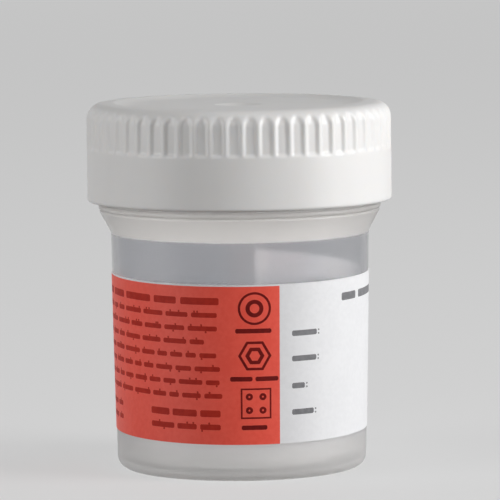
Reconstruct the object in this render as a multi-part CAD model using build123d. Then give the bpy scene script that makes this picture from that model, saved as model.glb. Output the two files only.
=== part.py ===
from build123d import *
from math import cos, degrees, radians, sin, tan
import os

# Formalin specimen container: a straight-sided translucent cup with a flared collar, a white
# screw cap with a fluted grip, a foam sealing liner, a wrapped label and its fill of fixative.
# Millimetres. +Z runs up the axis, the origin is the centre of the foot, and -Y is the front.
# Azimuths are measured from the front, positive towards +X.

# Cup
CUP_HEIGHT = 70.75  # foot to sealing rim
BODY_RADIUS = 26.1  # outside, just under the collar
BODY_TAPER = 0.85  # how much smaller that radius is above the base corner
SIDE_WALL = 1.3
FLOOR_THICKNESS = 1.4
FLOOR_CORNER_RADIUS = 2.0  # inside, where the floor meets the wall
BASE_CORNER_WIDTH = 2.15  # rounded outer corner, along the floor
BASE_CORNER_HEIGHT = 2.4  # the same corner, up the wall
FOOT_RING_WIDTH = 1.5
FOOT_RECESS = 1.1  # how far the base panel is lifted inside the standing ring
FOOT_RECESS_SLOPE = 1.2
GATE_MARK_RADIUS = 1.1
GATE_MARK_HEIGHT = 0.25
COLLAR_FLARE = 2.25  # how far the collar leans out over the wall
COLLAR_HEIGHT = 4.3
COLLAR_GROOVE_HEIGHT = 0.35  # sloped step between collar and bead
COLLAR_GROOVE_DEPTH = 0.35
BEAD_RADIUS = 0.55  # section of the round bead above the collar
NECK_STEP = 1.15  # how far the neck stands in from the collar's edge
NECK_WALL = 1.6
RIM_CHAMFER = 0.35

# Screw cap
CAP_HEIGHT = 19.9
CAP_GAP = 0.55  # shut cap's lower edge to the bead
THREAD_ROOM = 1.65  # neck to cap bore, where the threads mesh
CAP_SKIRT_WALL = 1.9
CAP_TOP_WALL = 1.6  # under the dish
CAP_LIP_ROUND = 0.6
CAP_LIP_CHAMFER = 0.5
CAP_CORNER_RADIUS = 0.4  # inside, where skirt meets top
SHOULDER_RADIUS = 3.2
CROWN_WIDTH = 2.3  # ring between shoulder and dish
CROWN_RISE = 0.15  # how much that ring climbs towards the dish
CROWN_ROUND = 2.5
DISH_DEPTH = 0.65
DISH_SLOPE_WIDTH = 4.6
DIMPLE_RADIUS = 4.8  # shallow dimple round the gate, in the middle of the dish
DIMPLE_DEPTH = 0.55
DIMPLE_SLOPE_WIDTH = 3.2
FLUTE_COUNT = 60
FLUTE_WIDTH = 2.15
FLUTE_DEPTH = 0.32
FLUTE_FOOT = 11.3  # cap's lower edge to the flutes' flat lower end
FLUTE_TOP_GAP = 0.55  # tip of a flute's arch to the shoulder's top
RIB_AZIMUTH = 1.2

# Foam liner
LINER_THICKNESS = 1.0
LINER_CLEARANCE = 0.1  # to the round corner of the cap's bore

# Label
LABEL_LENGTH = 122.0
LABEL_HEIGHT = 31.75
LABEL_THICKNESS = 0.1
LABEL_FOOT = 8.2  # foot to the label's lower edge, on the axis
LABEL_END_AZIMUTH = 173.0
LABEL_TILT = 1.4  # degrees that the label sits askew
LABEL_TILT_AZIMUTH = 151.0  # where its edges are highest
LABEL_ADHESIVE = 0.02

# Fill
FILL_DEPTH = 32.7  # 60 ml in this cup
FILL_SKIN = 0.05  # film left between the fluid and the plastic

# Radii that follow from the sizes above, each from what it fits
BODY_RADIUS_LOW = BODY_RADIUS - BODY_TAPER
FOOT_RADIUS = BODY_RADIUS_LOW - BASE_CORNER_WIDTH
COLLAR_RADIUS = BODY_RADIUS + COLLAR_FLARE
NECK_RADIUS = COLLAR_RADIUS - NECK_STEP
NECK_BORE = NECK_RADIUS - NECK_WALL
CAP_BORE = NECK_RADIUS + THREAD_ROOM
CAP_RADIUS = CAP_BORE + CAP_SKIRT_WALL
SHOULDER_CENTRE = CAP_RADIUS - SHOULDER_RADIUS
DISH_RADIUS = SHOULDER_CENTRE - CROWN_WIDTH
LINER_RADIUS = CAP_BORE - CAP_CORNER_RADIUS - LINER_CLEARANCE

# Heights that follow, from the sealing rim up through the liner and cap, then down the neck
FLOOR_Z = FOOT_RECESS + FLOOR_THICKNESS
CAP_CEILING_Z = CUP_HEIGHT + LINER_THICKNESS
DISH_FLOOR_Z = CAP_CEILING_Z + CAP_TOP_WALL
CAP_TOP_Z = DISH_FLOOR_Z + DISH_DEPTH
CAP_LOW_Z = CAP_TOP_Z - CAP_HEIGHT
SHOULDER_TOP_Z = CAP_TOP_Z - CROWN_RISE
SHOULDER_Z = SHOULDER_TOP_Z - SHOULDER_RADIUS
NECK_LOW_Z = CAP_LOW_Z - CAP_GAP
BEAD_LOW_Z = NECK_LOW_Z - 2 * BEAD_RADIUS
COLLAR_TOP_Z = BEAD_LOW_Z - COLLAR_GROOVE_HEIGHT
COLLAR_LOW_Z = COLLAR_TOP_Z - COLLAR_HEIGHT
LABEL_MID_Z = LABEL_FOOT + LABEL_HEIGHT / 2


def body_radius(z):
    """Outer radius of the tapered wall at height z."""
    share = (z - BASE_CORNER_HEIGHT) / (COLLAR_LOW_Z - BASE_CORNER_HEIGHT)
    return BODY_RADIUS_LOW + BODY_TAPER * share


def inner_radius(z):
    """Inner radius of the tapered wall at height z."""
    return body_radius(z) - SIDE_WALL


def cup_profile():
    """Half section of the cup, from the foot up the outside to the rim and down the inside."""
    ring_inner = FOOT_RADIUS - FOOT_RING_WIDTH
    groove_radius = COLLAR_RADIUS - COLLAR_GROOVE_DEPTH
    bead_z = BEAD_LOW_Z + BEAD_RADIUS
    wall_foot_z = FLOOR_Z + FLOOR_CORNER_RADIUS
    wall_foot_radius = inner_radius(wall_foot_z)
    floor_radius = wall_foot_radius - FLOOR_CORNER_RADIUS
    with BuildSketch(Plane.XZ) as section:
        with BuildLine():
            Polyline(
                (0, FLOOR_Z),
                (0, FOOT_RECESS),
                (ring_inner - FOOT_RECESS_SLOPE, FOOT_RECESS),
                (ring_inner, 0),
                (FOOT_RADIUS, 0),
            )
            EllipticalCenterArc(
                (FOOT_RADIUS, BASE_CORNER_HEIGHT),
                BASE_CORNER_WIDTH,
                BASE_CORNER_HEIGHT,
                start_angle=270,
                arc_size=90,
            )
            Polyline(
                (BODY_RADIUS_LOW, BASE_CORNER_HEIGHT),
                (BODY_RADIUS, COLLAR_LOW_Z),
                (COLLAR_RADIUS, COLLAR_TOP_Z),
                (groove_radius, BEAD_LOW_Z),
            )
            CenterArc((groove_radius, bead_z), BEAD_RADIUS, -90, 180)
            Polyline(
                (groove_radius, NECK_LOW_Z),
                (NECK_RADIUS, NECK_LOW_Z),
                (NECK_RADIUS, CUP_HEIGHT),
                (NECK_BORE, CUP_HEIGHT),
                (NECK_BORE, COLLAR_TOP_Z),
                (inner_radius(COLLAR_LOW_Z), COLLAR_LOW_Z),
                (wall_foot_radius, wall_foot_z),
            )
            CenterArc((floor_radius, wall_foot_z), FLOOR_CORNER_RADIUS, -90, 90)
            Line((floor_radius, FLOOR_Z), (0, FLOOR_Z))
        make_face()
    return section.sketch


def make_cup():
    """The moulded cup, with an eased sealing rim and the gate mark under its base."""
    with BuildPart() as cup:
        add(cup_profile())
        revolve(axis=Axis.Z)
        rim = cup.edges().filter_by_position(Axis.Z, CUP_HEIGHT - 0.01, CUP_HEIGHT + 0.01)
        chamfer(rim.filter_by(GeomType.CIRCLE), RIM_CHAMFER)
        with Locations((0, 0, FOOT_RECESS - GATE_MARK_HEIGHT / 2)):
            Cylinder(GATE_MARK_RADIUS, GATE_MARK_HEIGHT)
    return cup.part


def cap_profile():
    """Half section of the cap before its flutes are cut."""
    dish_floor_radius = DISH_RADIUS - DISH_SLOPE_WIDTH
    dimple_z = DISH_FLOOR_Z - DIMPLE_DEPTH
    dimple_floor_radius = DIMPLE_RADIUS - DIMPLE_SLOPE_WIDTH
    with BuildSketch(Plane.XZ) as section:
        with BuildLine():
            Line((CAP_BORE + CAP_LIP_CHAMFER, CAP_LOW_Z), (CAP_RADIUS - CAP_LIP_ROUND, CAP_LOW_Z))
            CenterArc(
                (CAP_RADIUS - CAP_LIP_ROUND, CAP_LOW_Z + CAP_LIP_ROUND), CAP_LIP_ROUND, -90, 90
            )
            Line((CAP_RADIUS, CAP_LOW_Z + CAP_LIP_ROUND), (CAP_RADIUS, SHOULDER_Z))
            CenterArc((SHOULDER_CENTRE, SHOULDER_Z), SHOULDER_RADIUS, 0, 90)
            Line((SHOULDER_CENTRE, SHOULDER_TOP_Z), (DISH_RADIUS, CAP_TOP_Z))
            TangentArc((dish_floor_radius, DISH_FLOOR_Z), (DISH_RADIUS, CAP_TOP_Z), tangent=(1, 0))
            Polyline(
                (dish_floor_radius, DISH_FLOOR_Z),
                (DIMPLE_RADIUS, DISH_FLOOR_Z),
                (dimple_floor_radius, dimple_z),
                (0, dimple_z),
                (0, CAP_CEILING_Z),
                (CAP_BORE - CAP_CORNER_RADIUS, CAP_CEILING_Z),
            )
            CenterArc(
                (CAP_BORE - CAP_CORNER_RADIUS, CAP_CEILING_Z - CAP_CORNER_RADIUS),
                CAP_CORNER_RADIUS,
                0,
                90,
            )
            Polyline(
                (CAP_BORE, CAP_CEILING_Z - CAP_CORNER_RADIUS),
                (CAP_BORE, CAP_LOW_Z + CAP_LIP_CHAMFER),
                (CAP_BORE + CAP_LIP_CHAMFER, CAP_LOW_Z),
            )
        make_face()
    return section.sketch


def flute_cutter():
    """One flute at azimuth of +X: a strip of the skirt that turns over the shoulder to an arch."""
    floor_radius = SHOULDER_RADIUS - FLUTE_DEPTH
    outside = CAP_RADIUS + FLUTE_DEPTH
    above = SHOULDER_TOP_Z + FLUTE_DEPTH
    foot_z = CAP_LOW_Z + FLUTE_FOOT
    half = FLUTE_WIDTH / 2
    spring_z = SHOULDER_TOP_Z - FLUTE_TOP_GAP - half
    with BuildPart() as cutter:
        with BuildSketch(Plane.XZ):
            with BuildLine():
                Polyline(
                    (SHOULDER_CENTRE, SHOULDER_Z + floor_radius),
                    (SHOULDER_CENTRE, above),
                    (outside, above),
                    (outside, foot_z),
                    (CAP_RADIUS - FLUTE_DEPTH, foot_z),
                    (CAP_RADIUS - FLUTE_DEPTH, SHOULDER_Z),
                )
                CenterArc((SHOULDER_CENTRE, SHOULDER_Z), floor_radius, 0, 90)
            make_face()
        extrude(amount=half, both=True)
        with BuildSketch(Plane.YZ.offset(outside)):
            with BuildLine():
                Polyline((-half, spring_z), (-half, foot_z), (half, foot_z), (half, spring_z))
                CenterArc((0, spring_z), half, 0, 180)
            make_face()
        extrude(amount=SHOULDER_CENTRE - outside, mode=Mode.INTERSECT)
    return cutter.part


def make_cap():
    """The moulded screw cap: shoulder, dished top and a grip of arched flutes."""
    with BuildPart() as cap:
        add(cap_profile())
        revolve(axis=Axis.Z)
        crest = cap.edges().filter_by_position(Axis.Z, CAP_TOP_Z - 0.01, CAP_TOP_Z + 0.01)
        fillet(crest.filter_by(GeomType.CIRCLE), CROWN_ROUND)
    pitch = 360 / FLUTE_COUNT
    first_flute = RIB_AZIMUTH - 90 + pitch / 2
    flute = flute_cutter()
    return cap.part - [Rot(0, 0, first_flute + turn * pitch) * flute for turn in range(FLUTE_COUNT)]


def make_liner():
    """Foam disc that lies on the rim inside the cap."""
    with BuildPart() as liner:
        with Locations((0, 0, CUP_HEIGHT)):
            Cylinder(
                LINER_RADIUS, LINER_THICKNESS, align=(Align.CENTER, Align.CENTER, Align.MIN)
            )
    return liner.part


def make_label():
    """Adhesive label wrapped round the tapered wall, a little askew, with a gap at the back."""
    middle_radius = body_radius(LABEL_MID_Z)
    wrap = degrees(LABEL_LENGTH / middle_radius)
    spare = middle_radius * tan(radians(LABEL_TILT)) + LABEL_THICKNESS
    low_z = LABEL_FOOT - spare
    high_z = LABEL_FOOT + LABEL_HEIGHT + spare
    inner_low = body_radius(low_z) + LABEL_ADHESIVE
    inner_high = body_radius(high_z) + LABEL_ADHESIVE
    high_side = radians(LABEL_TILT_AZIMUTH)
    lean = sin(radians(LABEL_TILT))
    with BuildPart() as strip:
        with BuildSketch(Plane.XZ):
            with BuildLine():
                Polyline(
                    (inner_low, low_z),
                    (inner_low + LABEL_THICKNESS, low_z),
                    (inner_high + LABEL_THICKNESS, high_z),
                    (inner_high, high_z),
                    close=True,
                )
            make_face()
        revolve(axis=Axis.Z, revolution_arc=wrap)
    wrapped = Rot(0, 0, LABEL_END_AZIMUTH - 90 - wrap) * strip.part
    slab_plane = Plane(
        origin=(0, 0, LABEL_MID_Z),
        z_dir=(-lean * sin(high_side), lean * cos(high_side), cos(radians(LABEL_TILT))),
    )
    slab = slab_plane * Box(4 * BODY_RADIUS, 4 * BODY_RADIUS, LABEL_HEIGHT)
    return wrapped & slab


def make_formalin():
    """Fluid standing in the cup, a film's width clear of the plastic."""
    low_z = FLOOR_Z + FILL_SKIN
    level_z = low_z + FILL_DEPTH
    corner_z = FLOOR_Z + FLOOR_CORNER_RADIUS
    wall_radius = inner_radius(corner_z) - FILL_SKIN
    with BuildPart() as fluid:
        with BuildSketch(Plane.XZ):
            with BuildLine():
                Polyline(
                    (0, low_z),
                    (wall_radius - FLOOR_CORNER_RADIUS, low_z),
                    (wall_radius, corner_z),
                    (inner_radius(level_z) - FILL_SKIN, level_z),
                    (0, level_z),
                    close=True,
                )
            make_face()
        revolve(axis=Axis.Z)
    return fluid.part


def main():
    """Build every piece and write one file for each."""
    pieces = {
        "cup": make_cup(),
        "screw_cap": make_cap(),
        "cap_liner": make_liner(),
        "label": make_label(),
        "formalin": make_formalin(),
    }
    os.makedirs("parts", exist_ok=True)
    for name, piece in pieces.items():
        export_step(piece, f"parts/{name}.step")
        print(name, round(piece.volume, 1), "mm3")


main()
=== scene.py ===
"""Looks of the formalin specimen container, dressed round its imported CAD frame.

Lengths are in millimetres until a mesh, lamp or camera is made, and azimuths are measured from -Y, the front,
towards +X. Every dressed piece rides on the CAD body whose node it stands for.
"""

import math
import random

import bpy
import numpy as np
from mathutils import Matrix, Vector


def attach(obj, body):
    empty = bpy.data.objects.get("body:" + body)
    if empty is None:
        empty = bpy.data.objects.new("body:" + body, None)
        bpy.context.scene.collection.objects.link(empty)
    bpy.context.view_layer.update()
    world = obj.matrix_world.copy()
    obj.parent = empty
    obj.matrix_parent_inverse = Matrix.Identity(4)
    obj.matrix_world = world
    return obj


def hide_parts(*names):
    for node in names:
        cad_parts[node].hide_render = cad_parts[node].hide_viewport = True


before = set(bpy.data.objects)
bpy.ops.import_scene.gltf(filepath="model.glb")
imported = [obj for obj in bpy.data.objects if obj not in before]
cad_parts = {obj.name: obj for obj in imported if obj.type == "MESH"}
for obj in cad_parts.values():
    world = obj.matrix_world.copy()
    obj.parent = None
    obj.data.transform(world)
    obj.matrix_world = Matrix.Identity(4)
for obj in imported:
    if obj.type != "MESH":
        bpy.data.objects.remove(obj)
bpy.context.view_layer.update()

MM = 0.001
TAU = 2 * math.pi
SHARP_EDGE = 50  # degrees between faces above which an edge is shaded sharp

# Cup, as in the CAD source
FOOT_RADIUS = 23.1
FOOT_RING_WIDTH = 1.5
FOOT_RECESS = 1.1
FOOT_RECESS_SLOPE = 1.2
GATE_MARK_RADIUS = 1.1
GATE_MARK_HEIGHT = 0.25
BASE_CORNER_WIDTH = 2.15
BASE_CORNER_HEIGHT = 2.4
BODY_RADIUS_LOW = 25.25
BODY_TAPER = 0.85
SIDE_WALL = 1.3
FLOOR_Z = 2.5
FLOOR_CORNER_RADIUS = 2.0
COLLAR_LOW_Z = 47.8
COLLAR_TOP_Z = 52.1
COLLAR_RADIUS = 28.35
COLLAR_GROOVE_RADIUS = 28.0
BEAD_LOW_Z = 52.45
BEAD_RADIUS = 0.55
NECK_LOW_Z = 53.55
NECK_RADIUS = 27.2
NECK_BORE = 25.6
CUP_HEIGHT = 70.75

# Cap, as in the CAD source, whose flutes are a little shorter and square-sided
CAP_RADIUS = 30.75
CAP_BORE = 28.85
CAP_LOW_Z = 54.1
CAP_CEILING_Z = 71.75
CAP_TOP_Z = 73.99
SHOULDER_RADIUS = 3.2
SHOULDER_CENTRE = 27.55
SHOULDER_Z = 70.65
DISH_RADIUS = 25.25
DISH_FLOOR_RADIUS = 20.65
CROWN_ROUND = 2.5
DISH_FLOOR_Z = 73.35
DIMPLE_RADIUS = 4.8
DIMPLE_FLOOR_RADIUS = 2.9
DIMPLE_Z = 72.8
FLUTE_COUNT = 60
FLUTE_DEPTH = 0.32
FLUTE_DEEPER = 0.12  # how much deeper the floor lies where the shoulder starts
RIB_CREST = 0.04  # half the width of a rib's flat top
RIB_SIDE = 0.9
FLUTE_LEDGE = 0.95  # height of the sloped ledge at a flute's foot
FLUTE_FOOT_Z = 64.55
FLUTE_LENGTH = 9.05  # foot to the arch's crest, along the skirt and over the shoulder
FLUTE_ARCH = 3.1
FLUTE_LEAN = 0.37  # the floor leans in over the shoulder, where the flute runs out
RIB_AZIMUTH = 1.2

# Thread, which the CAD source leaves to this script
THREAD_LEAD = 8.0
THREAD_STARTS = 2
THREAD_TURNS = 1.25
THREAD_HEIGHT = 1.15
THREAD_ROOT = 1.8
THREAD_CREST = 0.9
THREAD_FADE = 0.07  # share of a turn in which each end runs out
NECK_THREAD_Z = 57.2
CAP_THREAD_DROP = 1.3  # the cap's ridge bears on the neck's from below
CAP_THREAD_TURN_BACK = 0.3
NECK_THREAD_MARGIN = 0.6  # kept clear of the neck's two ends
CAP_THREAD_MARGIN = 1.0  # kept clear of the bore's two ends
THREAD_SKIN = 0.3  # how far from the neck's or bore's radius the outline counts as its surface

# Liner
LINER_GAP = 0.5
LINER_PRESSED = 0.08

# Steps round each turned piece
CUP_STEPS = 288
STEPS_TO_A_FLUTE = 12
LINER_STEPS = 192
FLUID_STEPS = 240

# Label, wrapped from LABEL_START to LABEL_END degrees; s runs along it and t up it, in millimetres
LABEL_LENGTH = 122.0
LABEL_HEIGHT = 31.75
LABEL_THICKNESS = 0.1
LABEL_ADHESIVE = 0.02
LABEL_START = -99.5
LABEL_END = 173.0
LABEL_TOP_Z = 39.56
LABEL_TILT = 0.0115
LABEL_TILT_ZERO = 76.5
LABEL_BOW_CENTRE = 60.8
LABEL_BOW = 2676.0  # a flat strip on the tapered wall rises by the square of the distance over this
LABEL_COLUMNS = 184
RED_END = 52.3
RED_TOP_MARGIN = 0.3
INK_LIFTS = (0.132, 0.11)  # top and underside over the plastic; the underside lies within the paper
BAR_STEP = 0.8
BAR_EASE = 0.22
LOOP_STEPS = 72
STUB_WIDTH, STUB_HEIGHT = 0.36, 0.4
SHORTEST_WORD = 1.4
TEXT_START = 3.0
TEXT_END = 40.4
SECOND_TEXT_START = 24.7
TEXT_TOP = 25.75
TEXT_LINE = 2.68
TEXT_HEIGHT = 0.95
TEXT_ENDS = (39.9, 39.9, 39.2, 39.7, 40.4, 40.3, 40.8)
LOW_LINES = (6.15, 3.45)
SIGN_MIDDLE = 47.3
SIGN_LEVELS = (27.1, 17.7, 8.2)
CAPTION_START = 54.9
CAPTIONS = ((21.85, 6.3), (16.8, 6.2), (11.4, 3.5), (6.15, 5.6))  # height on the label and length with colon
COLON_DOT = 0.32
HEADING_LEVEL = 28.1
HEADING = ((67.3, 5.0), (73.6, 9.2), (84.0, 10.5))  # start and length of each bar

# Fluid
FILL_LEVEL = 35.25
FILL_SKIN = 0.05
MENISCUS_RISE = 1.1
MENISCUS_WIDTH = 1.4

# Camera, fitted to the photograph
CAMERA_PLACE = (2.01, -875.0, 128.6)
CAMERA_PITCH = 5.54
CAMERA_ROLL = 0.56
CAMERA_LENS = 312.55
CAMERA_SENSOR = 36

# Heights in metres at which the cup's finish changes
COLLAR_FROST = (0.0470, 0.0482)
BASE_FROST = (0.0050, 0.0120)
COLLAR_GLOW = (0.0518, 0.0526)
NECK_GLOW_END = (0.0536, 0.0546)

# Surroundings, where 1 is white
PALE = 0.57
FLOOR_SHADE = 0.07  # left to the floor's own colour, which takes the shadow
FLOOR_TONE = 0.25
FLOOR_REACH = 8.0
AMBIENT = 0.1
LAMPS_AIM_Z = 37


def body_radius(z):
    """Outer radius of the tapered wall at height z."""
    return BODY_RADIUS_LOW + BODY_TAPER * (z - BASE_CORNER_HEIGHT) / (COLLAR_LOW_Z - BASE_CORNER_HEIGHT)


def smooth(x):
    """0 to 1 with level ends as x goes from 0 to 1."""
    x = np.clip(x, 0, 1)
    return x * x * (3 - 2 * x)


def rounded(corners, facet=0.14, hold=0.12):
    """Outline through corners (r, z) or (r, z, radius).

    Each radius is turned as an arc in steps of about facet, with a point at the distance hold past each end.
    """
    path = [np.array(corners[0][:2], float)]
    for before, corner, after in zip(corners, corners[1:], corners[2:]):
        here = np.array(corner[:2], float)
        if len(corner) < 3:
            path.append(here)
            continue
        back = np.array(before[:2]) - here
        on = np.array(after[:2]) - here
        back /= np.linalg.norm(back)
        on /= np.linalg.norm(on)
        half = 0.5 * math.acos(np.clip(back @ on, -1, 1))
        radius = corner[2]
        reach = radius / math.tan(half)
        middle = (back + on) / np.linalg.norm(back + on)
        centre = here + middle * radius / math.sin(half)
        start = here + back * reach - centre
        turn = math.pi - 2 * half
        if back[0] * on[1] - back[1] * on[0] > 0:
            turn = -turn
        count = max(3, math.ceil(abs(turn) * radius / facet))
        path.append(here + back * (reach + hold))
        for k in range(count + 1):
            angle = turn * k / count
            c, s = math.cos(angle), math.sin(angle)
            path.append(centre + np.array([c * start[0] - s * start[1], s * start[0] + c * start[1]]))
        path.append(here + on * (reach + hold))
    path.append(np.array(corners[-1][:2], float))
    return path


def divided(path, allowed):
    """Path with each stretch halved until it is no longer than allowed(r, z) at its ends and middle."""
    done = [path[0]]

    def walk(a, b):
        middle = (a + b) / 2
        limit = min(allowed(*a), allowed(*b), allowed(*middle))
        if np.linalg.norm(b - a) > limit:
            walk(a, middle)
            walk(middle, b)
        else:
            done.append(b)

    for a, b in zip(path, path[1:]):
        walk(a, b)
    return np.array(done)


def outward(path):
    """Unit normals of a path that runs anticlockwise round its solid in the r, z plane."""
    step = np.diff(path, axis=0)
    step /= np.linalg.norm(step, axis=1)[:, None]
    sides = np.stack([step[:, 1], -step[:, 0]], axis=1)
    normal = sides[:-1] + sides[1:]
    return normal / np.linalg.norm(normal, axis=1)[:, None]


def lathe(path, steps, relief=None, first=0.0):
    """Points and faces of a closed piece turned from a path that starts and ends on the axis.

    relief(azimuths, r, z) is how far each point stands out along the outline's normal.
    """
    azimuths = np.radians(first) + TAU * np.arange(steps)[None, :] / steps
    r, z = path[1:-1, 0:1], path[1:-1, 1:2]
    normal = outward(path)
    push = relief(azimuths, r, z) if relief else np.zeros((len(r), steps))
    radius = r + normal[:, 0:1] * push
    height = z + normal[:, 1:2] * push
    rings = np.stack([radius * np.sin(azimuths), -radius * np.cos(azimuths), height + 0 * azimuths], axis=2)
    points = np.vstack([[[0, 0, path[0, 1]]], rings.reshape(-1, 3), [[0, 0, path[-1, 1]]]])
    here = np.arange(steps)
    on = (here + 1) % steps
    faces = [(0, 1 + b, 1 + a) for a, b in zip(here, on)]
    for row in range(len(r) - 1):
        low = 1 + row * steps
        high = low + steps
        faces += [(low + a, low + b, high + b, high + a) for a, b in zip(here, on)]
    last = 1 + (len(r) - 1) * steps
    faces += [(last + a, last + b, len(points) - 1) for a, b in zip(here, on)]
    return points, faces


def add_piece(name, points, faces, material, body, stands_for=()):
    """A smooth mesh in the row frame that rides on a body."""
    mesh = bpy.data.meshes.new(name)
    mesh.from_pydata((np.asarray(points) * MM).tolist(), [], [tuple(int(i) for i in face) for face in faces])
    mesh.polygons.foreach_set("use_smooth", [True] * len(mesh.polygons))
    mesh.set_sharp_from_angle(angle=math.radians(SHARP_EDGE))
    for one in material if isinstance(material, list) else [material]:
        mesh.materials.append(one)
    piece = bpy.data.objects.new(name, mesh)
    bpy.context.scene.collection.objects.link(piece)
    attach(piece, body)
    if stands_for:
        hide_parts(*stands_for)
    return piece


def thread(azimuths, z, start_z, turn_back):
    """Height of a right-hand thread of THREAD_STARTS ridges, at azimuths and heights z."""
    ridge = np.zeros(np.broadcast(azimuths, z).shape)
    for start in range(THREAD_STARTS):
        for lap in range(3):
            turns = (azimuths / TAU + start / THREAD_STARTS + turn_back) % 1 + lap
            middle = start_z + THREAD_LEAD * turns
            across = np.abs(z - middle)
            flank = (THREAD_ROOT / 2 - across) / ((THREAD_ROOT - THREAD_CREST) / 2)
            ends = np.minimum(turns, THREAD_TURNS - turns) / THREAD_FADE
            ridge = np.maximum(ridge, THREAD_HEIGHT * smooth(flank) * smooth(ends))
    return ridge


def neck_relief(azimuths, r, z):
    """The neck's thread, on the outside of the neck alone."""
    low, high = NECK_LOW_Z + NECK_THREAD_MARGIN, CUP_HEIGHT - NECK_THREAD_MARGIN
    outside = (r > NECK_RADIUS - THREAD_SKIN) & (z > low) & (z < high)
    return np.where(outside, thread(azimuths, z, NECK_THREAD_Z, 0.0), 0.0)


def cup_path():
    """Half outline of the cup, from the gate mark under its foot up the outside and down the inside.

    A corner's third number is its radius.
    """
    ring_inner = FOOT_RADIUS - FOOT_RING_WIDTH
    corner = [
        (
            FOOT_RADIUS + BASE_CORNER_WIDTH * math.sin(angle),
            BASE_CORNER_HEIGHT * (1 - math.cos(angle)),
        )
        for angle in np.linspace(0, math.pi / 2, 12)
    ]
    bead_z = BEAD_LOW_Z + BEAD_RADIUS
    bead = [
        (
            COLLAR_GROOVE_RADIUS + BEAD_RADIUS * math.cos(angle),
            bead_z + BEAD_RADIUS * math.sin(angle),
        )
        for angle in np.linspace(-math.pi / 2, math.pi / 2, 13)
    ]
    wall_foot_z = FLOOR_Z + FLOOR_CORNER_RADIUS
    wall_foot_radius = body_radius(wall_foot_z) - SIDE_WALL
    gate_z = FOOT_RECESS - GATE_MARK_HEIGHT
    corners = [
        (0, gate_z),
        (GATE_MARK_RADIUS, gate_z, 0.1),
        (GATE_MARK_RADIUS + 0.15, FOOT_RECESS, 0.05),
        (ring_inner - FOOT_RECESS_SLOPE, FOOT_RECESS, 0.5),
        (ring_inner, 0, 0.3),
        *corner,
        (body_radius(COLLAR_LOW_Z), COLLAR_LOW_Z, 0.35),
        (COLLAR_RADIUS, COLLAR_TOP_Z, 0.25),
        (COLLAR_GROOVE_RADIUS, BEAD_LOW_Z),
        *bead[1:],
        (NECK_RADIUS, NECK_LOW_Z, 0.15),
        (NECK_RADIUS, CUP_HEIGHT, 0.35),
        (NECK_BORE, CUP_HEIGHT, 0.35),
        (NECK_BORE, COLLAR_TOP_Z, 2.0),
        (body_radius(COLLAR_LOW_Z) - SIDE_WALL, COLLAR_LOW_Z, 2.0),
        (wall_foot_radius, FLOOR_Z, FLOOR_CORNER_RADIUS),
        (0, FLOOR_Z),
    ]

    def allowed(r, z):
        on_thread = r > NECK_RADIUS - 0.2 and z > NECK_LOW_Z
        return 0.3 if on_thread else 3.0

    return divided(rounded(corners), allowed)


def make_cup(material):
    """Translucent cup with its foot ring, flared collar, bead and two-start thread."""
    points, faces = lathe(cup_path(), CUP_STEPS, neck_relief)
    add_piece("cup_body", points, faces, material, "cup", ["cup"])


def flute_relief(azimuths, r, z):
    """Flutes sunk between full-round ribs, with a ledge at the foot and an arch over the shoulder."""
    pitch = TAU / FLUTE_COUNT
    across = np.abs((azimuths - math.radians(RIB_AZIMUTH)) % pitch - pitch / 2) * r
    half = pitch / 2 * r
    rise = z - SHOULDER_Z
    turned = np.arctan2(rise, np.maximum(r - SHOULDER_CENTRE, 1e-6))
    along = np.where(
        rise < 0,
        z - FLUTE_FOOT_Z,
        SHOULDER_Z - FLUTE_FOOT_Z + SHOULDER_RADIUS * turned,
    )
    past = np.maximum(along - (FLUTE_LENGTH - FLUTE_ARCH), 0)
    to_rib = half - np.hypot(across, past * half / FLUTE_ARCH)
    floor = FLUTE_DEPTH + FLUTE_DEEPER * np.clip((z - FLUTE_FOOT_Z) / (SHOULDER_Z - FLUTE_FOOT_Z), 0, 1) ** 2
    depth = floor * smooth((to_rib - RIB_CREST) / RIB_SIDE) * smooth(along / FLUTE_LEDGE)
    steepest = 1.3  # radians, short of the shoulder's level top
    left = (r - CAP_RADIUS + floor + FLUTE_LEAN * rise) / np.cos(np.clip(turned, 0, steepest))
    depth = np.where(rise > 0, np.minimum(depth, np.maximum(left, 0)), depth)
    on_skirt = r > CAP_RADIUS - 1.0
    on_shoulder = (z > SHOULDER_Z + 1.2) & (r > SHOULDER_CENTRE - 0.2)
    return np.where(on_skirt | on_shoulder, -depth, 0.0)


def cap_relief(azimuths, r, z):
    """The flutes outside and the thread in the bore."""
    low, high = CAP_LOW_Z + CAP_THREAD_MARGIN, CAP_CEILING_Z - CAP_THREAD_MARGIN
    bore = (r < CAP_BORE + THREAD_SKIN) & (z > low) & (z < high)
    inside = thread(azimuths, z, cap_thread_z(), CAP_THREAD_TURN_BACK)
    return flute_relief(azimuths, r, z) + np.where(bore, inside, 0.0)


def cap_thread_z():
    """Where the cap's ridge starts, on the neck's helix but CAP_THREAD_DROP below it."""
    turned_back = NECK_THREAD_Z - THREAD_LEAD * CAP_THREAD_TURN_BACK
    return turned_back - CAP_THREAD_DROP + THREAD_LEAD / THREAD_STARTS


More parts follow.
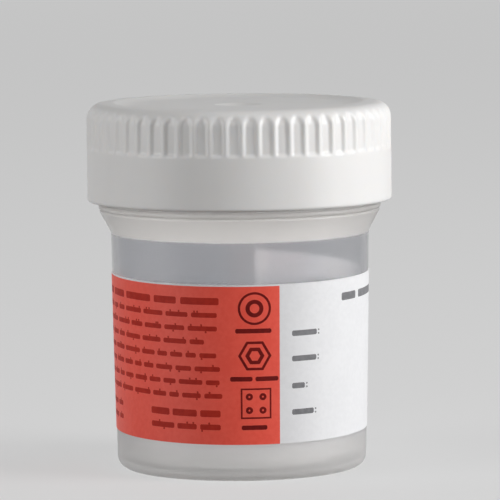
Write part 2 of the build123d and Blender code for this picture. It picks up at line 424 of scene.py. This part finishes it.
def cap_path():
    """Half outline of the cap: ceiling, bore, lip, skirt, shoulder, crowned ring, dish and dimple."""
    shoulder = [
        (
            SHOULDER_CENTRE + SHOULDER_RADIUS * math.cos(angle),
            SHOULDER_Z + SHOULDER_RADIUS * math.sin(angle),
        )
        for angle in np.linspace(0, math.pi / 2, 16)
    ]
    slope_width = DISH_RADIUS - DISH_FLOOR_RADIUS
    dish_slope = [
        (DISH_FLOOR_RADIUS + slope_width * share, DISH_FLOOR_Z + (CAP_TOP_Z - DISH_FLOOR_Z) * share**2)
        for share in np.linspace(0.82, 0, 5)
    ]
    corners = [
        (0, CAP_CEILING_Z),
        (CAP_BORE, CAP_CEILING_Z, 0.4),
        (CAP_BORE, CAP_LOW_Z, 0.45),
        (CAP_RADIUS, CAP_LOW_Z, 0.6),
        (CAP_RADIUS, SHOULDER_Z - 0.2),
        *shoulder,
        (DISH_RADIUS, CAP_TOP_Z, CROWN_ROUND),
        *dish_slope,
        (DIMPLE_RADIUS, DISH_FLOOR_Z, 2.0),
        (DIMPLE_FLOOR_RADIUS, DIMPLE_Z, 2.0),
        (0, DIMPLE_Z),
    ]

    def allowed(r, z):
        on_ledges = r > 29.5 and FLUTE_FOOT_Z - 0.2 < z < FLUTE_FOOT_Z + 1.2
        on_thread = 28.5 < r < 29 and 56 < z < 69.2
        on_arches = z > SHOULDER_Z + 1 and r > SHOULDER_CENTRE - 0.5
        return 0.25 if on_ledges else 0.55 if on_thread else 0.4 if on_arches else 4.5

    return divided(rounded(corners), allowed)


def make_cap(material):
    """Screw cap with arched flutes, crowned ring, dished top and the thread in its bore."""
    points, faces = lathe(cap_path(), FLUTE_COUNT * STEPS_TO_A_FLUTE, cap_relief, first=RIB_AZIMUTH)
    add_piece("cap_body", points, faces, material, "cap", ["screw_cap"])


def make_liner(material):
    """Foam disc with soft edges and the ring that the cup's rim has pressed into it."""
    low, high = CUP_HEIGHT, CAP_CEILING_Z
    edge = CAP_BORE - LINER_GAP
    pressed = low + LINER_PRESSED
    corners = [
        (0, low),
        (NECK_BORE - 0.5, low, 0.6),
        (NECK_BORE, pressed, 0.4),
        (NECK_RADIUS, pressed, 0.4),
        (NECK_RADIUS + 0.4, low, 0.4),
        (edge, low, 0.2),
        (edge, high, 0.2),
        (0, high),
    ]
    points, faces = lathe(divided(rounded(corners), lambda r, z: 3.0), LINER_STEPS)
    add_piece("liner_disc", points, faces, material, "liner", ["cap_liner"])


def label_z(s):
    """Height of the label's top edge at s."""
    return LABEL_TOP_Z + LABEL_TILT * (s - LABEL_TILT_ZERO) + (s - LABEL_BOW_CENTRE) ** 2 / LABEL_BOW


def label_point(s, t, lift):
    """Point of the label at s along and t up, lift above the plastic."""
    azimuth = math.radians(LABEL_START + s * (LABEL_END - LABEL_START) / LABEL_LENGTH)
    z = label_z(s) - LABEL_HEIGHT + t
    radius = body_radius(z) + lift
    return radius * math.sin(azimuth), -radius * math.cos(azimuth), z


def make_label(paper, red, back_paper):
    """Two-colour paper label as one closed sheet; its face is split at the border between the panels."""
    columns = sorted({*np.linspace(0, LABEL_LENGTH, LABEL_COLUMNS).round(4), RED_END})
    rows = [0.0, *np.linspace(2, 30, 15), LABEL_HEIGHT - RED_TOP_MARGIN, LABEL_HEIGHT]
    across, up = len(columns), len(rows)
    points = []
    for lift in (LABEL_ADHESIVE, LABEL_ADHESIVE + LABEL_THICKNESS):
        points += [label_point(s, t, lift) for s in columns for t in rows]
    back, face = 0, across * up
    faces = []
    finishes = []

    def quad(a, b, c, d, finish=0):
        faces.append((a, b, c, d))
        finishes.append(finish)

    for i in range(across - 1):
        for j in range(up - 1):
            here = i * up + j
            on = here + up
            is_red = columns[i] < RED_END - 0.01 and rows[j] < LABEL_HEIGHT - RED_TOP_MARGIN - 0.01
            quad(face + here, face + on, face + on + 1, face + here + 1, int(is_red))
            quad(back + here, back + here + 1, back + on + 1, back + on, 2)
    for i in range(across - 1):
        low = i * up
        top = low + up - 1
        quad(back + low, back + low + up, face + low + up, face + low)
        quad(face + top, face + top + up, back + top + up, back + top)
    for j in range(up - 1):
        end = (across - 1) * up + j
        quad(face + j, face + j + 1, back + j + 1, back + j)
        quad(back + end, back + end + 1, face + end + 1, face + end)
    label = add_piece("label_sheet", points, faces, [paper, red, back_paper], "cup", ["label"])
    label.data.polygons.foreach_set("material_index", finishes)


class Ink:
    """Print on the label: thin closed patches, each laid out in label millimetres."""

    def __init__(self):
        self.points = []
        self.faces = []

    def sheet(self, grid, closed=False):
        """A patch through a grid of (s, t) points, rows across columns, with its underside and rim."""
        rows, columns = len(grid), len(grid[0])
        base = len(self.points)
        for lift in INK_LIFTS:
            self.points += [label_point(s, t, lift) for row in grid for s, t in row]
        under = base + rows * columns

        def at(i, j, low=False):
            return (under if low else base) + i * columns + j % columns

        spans = columns if closed else columns - 1
        for i in range(rows - 1):
            for j in range(spans):
                self.faces.append((at(i, j), at(i, j + 1), at(i + 1, j + 1), at(i + 1, j)))
                self.faces.append((at(i, j, 1), at(i + 1, j, 1), at(i + 1, j + 1, 1), at(i, j + 1, 1)))
        for j in range(spans):
            top = rows - 1
            self.faces.append((at(0, j, 1), at(0, j + 1, 1), at(0, j + 1), at(0, j)))
            self.faces.append((at(top, j), at(top, j + 1), at(top, j + 1, 1), at(top, j, 1)))
        if not closed:
            end = columns - 1
            for i in range(rows - 1):
                self.faces.append((at(i, 0), at(i + 1, 0), at(i + 1, 0, 1), at(i, 0, 1)))
                self.faces.append((at(i, end, 1), at(i + 1, end, 1), at(i + 1, end), at(i, end)))

    def bar(self, s, t, length, height):
        """A bar from s, centred on height t, with eased ends."""
        ease = min(BAR_EASE, length / 4)
        inner = np.linspace(ease, length - ease, 2 + int(length / BAR_STEP))[1:-1]
        stations = [0, ease, *inner, length - ease, length]
        grid = []
        for side in (-1, 1):
            grid.append(
                [
                    (s + along, t + side * (height / 2 - (ease if along in (0, length) else 0)))
                    for along in stations
                ]
            )
        self.sheet(grid)

    def loop(self, s, t, outline, width):
        """A closed line of that width; outline(turn, inset) gives its points round (s, t)."""
        turns = np.arange(LOOP_STEPS) * TAU / LOOP_STEPS
        outer = [outline(turn, 0) for turn in turns]
        inner = [outline(turn, width) for turn in turns]
        self.sheet([[(s + x, t + y) for x, y in ring] for ring in (outer, inner)], closed=True)

    def piece(self, name, material):
        """All patches as one piece on the cup."""
        add_piece(name, self.points, self.faces, material, "cup")


def polygon(sides, radius, turned=0.0):
    """Outline function of a regular polygon with that circumradius."""

    def outline(turn, inset):
        sector = TAU / sides
        apothem = radius * math.cos(sector / 2) - inset
        reach = apothem / math.cos((turn - turned) % sector - sector / 2)
        return reach * math.cos(turn), reach * math.sin(turn)

    return outline


def circle(radius):
    """Outline function of a circle."""
    return lambda turn, inset: ((radius - inset) * math.cos(turn), (radius - inset) * math.sin(turn))


def words(ink, draw, start, end, t, height, word=(2.2, 5.6), gap=0.75, stubs=True):
    """A line of bars that stand for words, some with a short stub above or below."""
    s = start
    while end - s > SHORTEST_WORD:
        length = min(draw.uniform(*word), end - s)
        if end - s - length < 1.6:
            length = end - s
        ink.bar(s, t, length, height)
        if stubs:
            for _ in range(max(1, round(length / 2.4))):
                at = s + draw.uniform(0.2, max(0.25, length - 0.6))
                side = 1 if draw.random() < 0.75 else -1
                ink.bar(at, t + side * (height / 2 + STUB_HEIGHT / 2), STUB_WIDTH, STUB_HEIGHT)
        s += length + gap


def print_text(material):
    """Bars in the places of the red panel's lines of text."""
    draw = random.Random(7)
    ink = Ink()
    words(ink, draw, TEXT_START, 40.3, 28.5, 1.4, word=(5.0, 9.5), gap=1.0, stubs=False)
    for line, end in enumerate(TEXT_ENDS):
        words(ink, draw, TEXT_START, end, TEXT_TOP - TEXT_LINE * line, TEXT_HEIGHT)
    upper, lower = LOW_LINES
    words(ink, draw, SECOND_TEXT_START, TEXT_END, upper, 1.35, word=(3.5, 8.0), stubs=False)
    words(ink, draw, SECOND_TEXT_START, TEXT_END, lower, 1.1, word=(3.0, 6.0))
    for level in LOW_LINES:
        words(ink, draw, TEXT_START, 14.0, level, TEXT_HEIGHT)
    ink.piece("label_print_text", material)


def print_signs(material):
    """Rings, a pair of hexagons and a square of dots in the places of the signs, with bars under them."""
    ink = Ink()
    top, middle, low = SIGN_LEVELS
    for outline, width in ((circle(3.25), 0.45), (circle(1.75), 0.8)):
        ink.loop(SIGN_MIDDLE, top, outline, width)
    for outline, width in ((polygon(6, 3.3), 0.5), (polygon(6, 1.9), 0.7)):
        ink.loop(SIGN_MIDDLE, middle, outline, width)
    square_middle, dot_offset = SIGN_MIDDLE + 0.2, 1.35
    ink.loop(square_middle, low, polygon(4, 4.3, math.pi / 4), 0.32)
    for side in (-dot_offset, dot_offset):
        for level in (-dot_offset, dot_offset):
            ink.loop(square_middle + side, low + level, circle(0.7), 0.5)
    for s, t, length in ((43.5, 22.65, 7.1), (42.4, 13.1, 4.4), (47.4, 13.1, 4.6), (44.6, 3.4, 5.1)):
        ink.bar(s, t, length, 0.9)
    ink.piece("label_print_signs", material)


def print_captions(material):
    """Bars with colons in the places of the white panel's captions, and a heading of three bars."""
    ink = Ink()
    for t, length in CAPTIONS:
        ink.bar(CAPTION_START, t, length - 0.7, 1.1)
        for level in (-0.35, 0.35):
            ink.bar(CAPTION_START + length - 0.4, t + level, COLON_DOT, COLON_DOT)
    for start, length in HEADING:
        ink.bar(start, HEADING_LEVEL, length, 1.55)
    ink.piece("label_print_grey", material)


def make_fluid(material):
    """Clear fluid with the meniscus that climbs the wall."""
    low = FLOOR_Z + FILL_SKIN
    wall = body_radius(FILL_LEVEL + MENISCUS_RISE) - SIDE_WALL - FILL_SKIN
    foot = body_radius(FLOOR_Z + FLOOR_CORNER_RADIUS) - SIDE_WALL - FILL_SKIN
    surface = [
        (wall - out, FILL_LEVEL + MENISCUS_RISE * math.exp(-out / MENISCUS_WIDTH))
        for out in (0, 0.1, 0.25, 0.45, 0.7, 1.0, 1.4, 1.9, 2.6, 3.5, 4.8, 7.0)
    ]
    corners = [(0, low), (foot, low, FLOOR_CORNER_RADIUS), *surface, (0, FILL_LEVEL)]
    points, faces = lathe(divided(rounded(corners), lambda r, z: 4.0), FLUID_STEPS)
    add_piece("fluid_body", points, faces, material, "cup", ["formalin"])


def feed(tree, socket, value):
    """Links an output socket to an input, or sets the input's value."""
    if isinstance(value, bpy.types.NodeSocket):
        tree.links.new(value, socket)
    else:
        socket.default_value = value


def maths(tree, operation, first, second):
    """The result of one maths node."""
    node = tree.nodes.new("ShaderNodeMath")
    node.operation = operation
    feed(tree, node.inputs[0], first)
    feed(tree, node.inputs[1], second)
    return node.outputs[0]


class Finish:
    """A node material round one Principled shader, whose even values sit on its own sockets."""

    def __init__(self, name, **values):
        self.material = bpy.data.materials.new(name)
        self.material.use_nodes = True
        self.tree = self.material.node_tree
        self.shader = self.tree.nodes["Principled BSDF"]
        self.surface = self.shader.outputs[0]
        self.place = self.tree.nodes.new("ShaderNodeTexCoord").outputs["Object"]
        for socket, value in values.items():
            self.shader.inputs[socket.replace("_", " ")].default_value = value

    def node(self, kind, *links, **settings):
        """A new node; links are (input, socket or value)."""
        made = self.tree.nodes.new("ShaderNode" + kind)
        for name, value in settings.items():
            setattr(made, name, value)
        for name, value in links:
            feed(self.tree, made.inputs[name], value)
        return made

    def noise(self, scale, detail=2.0, stretch=None):
        """Noise from 0 to 1 with scale features to the metre."""
        place = self.place
        if stretch:
            place = self.node("Mapping", ("Vector", place), ("Scale", stretch)).outputs[0]
        made = self.node("TexNoise", ("Vector", place), ("Scale", scale), ("Detail", detail))
        return made.outputs["Fac"]

    def ranged(self, value, low, high, to_low, to_high):
        """Value mapped smoothly from low..high to to_low..to_high."""
        made = self.node(
            "MapRange",
            ("Value", value),
            ("From Min", low),
            ("From Max", high),
            ("To Min", to_low),
            ("To Max", to_high),
            interpolation_type="SMOOTHSTEP",
        )
        return made.outputs[0]

    def mixed(self, share, first, second):
        """Colour between first and second."""
        made = self.node("Mix", data_type="RGBA")
        colour_in = [socket for socket in made.inputs if socket.type == "RGBA"]
        colour_out = [socket for socket in made.outputs if socket.type == "RGBA"]
        for socket, value in zip([made.inputs["Factor"], *colour_in], (share, first, second)):
            feed(self.tree, socket, value)
        return colour_out[0]

    def maths(self, operation, first, second):
        """The result of one maths node."""
        return maths(self.tree, operation, first, second)

    def bump(self, height, distance, strength=1.0, under=None):
        """Normal from a height, distance in metres, on top of another normal."""
        links = [("Height", height), ("Distance", distance), ("Strength", strength)]
        if under is not None:
            links.append(("Normal", under))
        return self.node("Bump", *links).outputs[0]

    def height(self):
        """Height over the foot, in metres."""
        return self.node("SeparateXYZ", ("Vector", self.place)).outputs["Z"]

    def set(self, **sockets):
        """Feeds sockets of the shader."""
        for socket, value in sockets.items():
            feed(self.tree, self.shader.inputs[socket.replace("_", " ")], value)

    def mix_in(self, share, other):
        """Mixes another shader into the surface."""
        both = self.node("MixShader", ("Fac", share))
        feed(self.tree, both.inputs[1], self.surface)
        feed(self.tree, both.inputs[2], other.outputs[0])
        self.surface = both.outputs[0]
        feed(self.tree, self.tree.nodes["Material Output"].inputs["Surface"], self.surface)

    def glows_through(self, share, colour):
        """Shows a share of the light on its far side, scattered."""
        self.mix_in(share, self.node("BsdfTranslucent", ("Color", colour)))

    def lamps_pass(self, colour):
        """Lets the lamps' rays through, so that what is behind the clear wall is lit."""
        ray = self.node("LightPath").outputs["Is Shadow Ray"]
        self.mix_in(ray, self.node("BsdfTransparent", ("Color", colour)))


def cup_finish():
    """Hazy polypropylene: clear in the drawn wall, frosted in the thick collar, neck and base."""
    f = Finish("cup_polypropylene", IOR=1.49, Coat_Weight=0.35, Coat_Roughness=0.14)
    z = f.height()
    collar = f.ranged(z, *COLLAR_FROST, 0.0, 1.0)
    base = f.ranged(z, *BASE_FROST, 1.0, 0.0)
    cloud = f.noise(90, 3)
    frost = f.maths("ADD", f.maths("MAXIMUM", collar, base), f.ranged(cloud, 0.35, 0.75, -0.05, 0.08))
    frosted = f.mixed(base, (0.89, 0.883, 0.880, 1), (0.71, 0.702, 0.70, 1))
    edge = f.ranged(f.node("LayerWeight", ("Blend", 0.5)).outputs["Facing"], 0.35, 0.95, 0.0, 1.0)
    flow = f.ranged(f.noise(75, 2, (1, 1, 0.05)), 0.38, 0.66, 0.0, 1.0)
    streaked = f.mixed(flow, (0.67, 0.675, 0.70, 1), (0.73, 0.735, 0.75, 1))
    clear = f.mixed(edge, streaked, (0.42, 0.43, 0.47, 1))
    clarity = f.ranged(frost, 0.0, 1.0, 0.96, 0.85)
    f.set(
        Base_Color=f.mixed(frost, clear, frosted),
        Transmission_Weight=f.maths("SUBTRACT", clarity, f.maths("MULTIPLY", base, 0.18)),
        Roughness=f.ranged(frost, 0.0, 1.0, 0.11, 0.42),
        Normal=f.bump(f.noise(1400, 2), 0.00002, 0.25, f.bump(f.noise(60, 2), 0.0002, 0.12)),
    )
    less = f.maths("ADD", f.maths("MULTIPLY", base, 0.13), f.ranged(z, *NECK_GLOW_END, 0.0, 0.3))
    glow = f.maths("SUBTRACT", f.ranged(frost, 0.0, 1.0, 0.0, 0.29), less)
    glow = f.maths("ADD", glow, f.ranged(z, *COLLAR_GLOW, 0.0, 0.24))
    f.glows_through(glow, (0.89, 0.88, 0.865, 1))
    f.lamps_pass(f.mixed(frost, (0.95, 0.95, 0.96, 1), (0.86, 0.85, 0.84, 1)))
    return f.material


def cap_finish():
    """Satin white polypropylene with a faint moulded grain, flow marks and rubbed spots."""
    f = Finish(
        "cap_polypropylene",
        IOR=1.49,
        Subsurface_Weight=0.3,
        Subsurface_Radius=(1.0, 0.9, 0.8),
        Subsurface_Scale=0.0014,
        Coat_Weight=0.3,
        Coat_Roughness=0.28,
    )
    grain = f.noise(2600, 2)
    flow = f.noise(70, 3, (1, 1, 0.35))
    scuffs = f.noise(420, 4)
    marks = f.ranged(flow, 0.3, 0.7, 0, 1)
    rubbed = f.ranged(scuffs, 0.35, 0.7, 0.48, 0.56)
    f.set(
        Base_Color=f.mixed(marks, (0.875, 0.862, 0.848, 1), (0.905, 0.894, 0.882, 1)),
        Roughness=f.maths("ADD", rubbed, f.ranged(flow, 0.3, 0.7, -0.03, 0.03)),
        Normal=f.bump(grain, 0.00002, 0.35, f.bump(f.noise(110, 2), 0.00025, 0.1)),
    )
    return f.material


def foam_finish():
    """Closed-cell foam with a fine skin."""
    f = Finish("liner_foam", Specular_IOR_Level=0.3)
    cells = f.node("TexVoronoi", ("Vector", f.place), ("Scale", 2200)).outputs["Distance"]
    f.set(
        Base_Color=f.mixed(f.noise(300, 3), (0.86, 0.86, 0.85, 1), (0.92, 0.92, 0.91, 1)),
        Roughness=f.ranged(cells, 0.0, 0.6, 0.75, 0.6),
        Normal=f.bump(cells, 0.00005, 0.6),
    )
    return f.material


def paper_finish(name, light, dark, through, coat=0.0, **values):
    """Label stock or ink on it: two near tones, fibre bump and a share of the lamps let through."""
    f = Finish(name, Coat_Weight=coat, Coat_Roughness=0.35, **values)
    fine = f.maths("MULTIPLY", f.noise(1100, 3), 0.6)
    mottle = f.maths("ADD", fine, f.maths("MULTIPLY", f.noise(160, 2), 0.4))
    fibre = f.noise(2400, 3, (1, 1, 0.6))
    f.set(
        Base_Color=f.mixed(f.ranged(mottle, 0.38, 0.62, 0, 1), (*light, 1), (*dark, 1)),
        Roughness=f.ranged(fibre, 0.3, 0.7, 0.5, 0.62),
        Normal=f.bump(fibre, 0.00002, 0.35),
    )
    f.lamps_pass((*through, 1))
    return f.material


def ink_finish(name, light, dark, through):
    """Matt ink, which shows the paper's fibre."""
    return paper_finish(name, light, dark, through, Specular_IOR_Level=0.2)


def label_back_finish():
    """Adhesive side of the label, white and a little translucent."""
    f = Finish("label_back", Roughness=0.5)
    f.set(
        Base_Color=f.mixed(f.noise(180, 3), (0.96, 0.95, 0.935, 1), (0.91, 0.90, 0.885, 1)),
        Normal=f.bump(f.noise(2400, 3, (1, 1, 0.6)), 0.00002, 0.3),
    )
    f.glows_through(0.88, (0.98, 0.965, 0.94, 1))
    return f.material


def fluid_finish():
    """Clear colourless fluid."""
    f = Finish("formalin_fluid", IOR=1.34, Transmission_Weight=1.0, Roughness=0.0)
    faint = f.mixed(f.noise(25, 1), (0.955, 0.975, 0.985, 1), (0.97, 0.985, 0.99, 1))
    f.set(Base_Color=faint)
    f.lamps_pass((0.97, 0.985, 0.99, 1))
    return f.material


def pale_rays(tree):
    """1 for rays that see the background: from the camera, a mirror or clear matter, but not scattered."""
    path = tree.nodes.new("ShaderNodeLightPath").outputs
    through = maths(tree, "MAXIMUM", path["Is Glossy Ray"], path["Is Transmission Ray"])
    seen = maths(tree, "MAXIMUM", path["Is Camera Ray"], through)
    return maths(tree, "MULTIPLY", seen, maths(tree, "SUBTRACT", 1.0, path["Is Diffuse Ray"]))


def make_stage():
    """Pale floor and surroundings; their paleness is seen but lights nothing."""
    world = bpy.data.worlds.new("studio")
    world.use_nodes = True
    bpy.context.scene.world = world
    tree = world.node_tree
    ambient = tree.nodes["Background"]
    ambient.inputs["Color"].default_value = (1, 1, 1, 1)
    ambient.inputs["Strength"].default_value = AMBIENT
    pale = tree.nodes.new("ShaderNodeBackground")
    pale.inputs["Color"].default_value = (1, 1, 1, 1)
    pale.inputs["Strength"].default_value = PALE
    both = tree.nodes.new("ShaderNodeMixShader")
    tree.links.new(pale_rays(tree), both.inputs[0])
    tree.links.new(ambient.outputs[0], both.inputs[1])
    tree.links.new(pale.outputs[0], both.inputs[2])
    tree.links.new(both.outputs[0], tree.nodes["World Output"].inputs["Surface"])

    mesh = bpy.data.meshes.new("floor")
    corners = [(x * FLOOR_REACH, y * FLOOR_REACH, 0) for x, y in ((-1, -1), (1, -1), (1, 1), (-1, 1))]
    mesh.from_pydata(corners, [], [(0, 1, 2, 3)])
    floor = bpy.data.objects.new("floor", mesh)
    bpy.context.scene.collection.objects.link(floor)
    material = bpy.data.materials.new("floor")
    material.use_nodes = True
    tree = material.node_tree
    tree.nodes.remove(tree.nodes["Principled BSDF"])
    matt = tree.nodes.new("ShaderNodeBsdfDiffuse")
    matt.inputs["Color"].default_value = (FLOOR_TONE, FLOOR_TONE, FLOOR_TONE, 1)
    glow = tree.nodes.new("ShaderNodeEmission")
    lit = maths(tree, "MULTIPLY", pale_rays(tree), PALE - FLOOR_SHADE)
    tree.links.new(lit, glow.inputs["Strength"])
    added = tree.nodes.new("ShaderNodeAddShader")
    tree.links.new(matt.outputs[0], added.inputs[0])
    tree.links.new(glow.outputs[0], added.inputs[1])
    tree.links.new(added.outputs[0], tree.nodes["Material Output"].inputs["Surface"])
    mesh.materials.append(material)


def add_lamp(name, azimuth, elevation, distance, size, watts):
    """Square area lamp that faces the container's middle."""
    lamp = bpy.data.lights.new(name, "AREA")
    lamp.shape = "SQUARE"
    lamp.size = size
    lamp.energy = watts
    holder = bpy.data.objects.new(name, lamp)
    a, e = math.radians(azimuth), math.radians(elevation)
    away = Vector((math.sin(a) * math.cos(e), -math.cos(a) * math.cos(e), math.sin(e)))
    holder.location = Vector((0, 0, LAMPS_AIM_Z * MM)) + away * distance
    holder.rotation_mode = "QUATERNION"
    holder.rotation_quaternion = away.to_track_quat("Z", "Y")
    bpy.context.scene.collection.objects.link(holder)
    return holder


def make_camera():
    """Camera where the photograph was taken from, rolled as it was."""
    camera = bpy.data.cameras.new("camera")
    camera.lens = CAMERA_LENS
    camera.sensor_width = CAMERA_SENSOR
    holder = bpy.data.objects.new("camera", camera)
    bpy.context.scene.collection.objects.link(holder)
    tilt = Matrix.Rotation(math.radians(90 - CAMERA_PITCH), 4, "X")
    roll = Matrix.Rotation(math.radians(-CAMERA_ROLL), 4, "Z")
    holder.matrix_world = Matrix.Translation(Vector(CAMERA_PLACE) * MM) @ tilt @ roll
    bpy.context.scene.camera = holder


def make_labels():
    """The label and its print."""
    sheen = 0.2
    red = paper_finish("label_red_panel", (1.0, 0.11, 0.068), (0.96, 0.092, 0.055), (0.8, 0.12, 0.08), sheen)
    white_through = (0.96, 0.95, 0.94)
    white = paper_finish("label_white_panel", (0.90, 0.90, 0.915), (0.87, 0.87, 0.885), white_through, sheen)
    make_label(white, red, label_back_finish())
    print_text(ink_finish("ink_red_brown", (0.54, 0.030, 0.015), (0.46, 0.022, 0.011), (0.5, 0.06, 0.04)))
    print_signs(ink_finish("ink_dark_red", (0.19, 0.006, 0.004), (0.14, 0.004, 0.003), (0.3, 0.05, 0.03)))
    print_captions(ink_finish("ink_grey", (0.25, 0.25, 0.26), (0.20, 0.20, 0.21), (0.3, 0.3, 0.3)))


def light_the_scene():
    """A key lamp at the right, a weaker one at the left, and one behind for scattering matter alone."""
    add_lamp("key", azimuth=73, elevation=17, distance=1.2, size=0.6, watts=14.0)
    add_lamp("fill", azimuth=-66, elevation=17, distance=1.2, size=0.6, watts=5.9)
    back = add_lamp("back", azimuth=180, elevation=1.5, distance=6.0, size=0.25, watts=290.0)
    back.visible_camera = back.visible_glossy = back.visible_transmission = False


def main():
    make_cup(cup_finish())
    make_cap(cap_finish())
    make_liner(foam_finish())
    make_labels()
    make_fluid(fluid_finish())
    make_stage()
    light_the_scene()
    make_camera()
    bpy.context.scene.view_settings.view_transform = "Standard"


main()
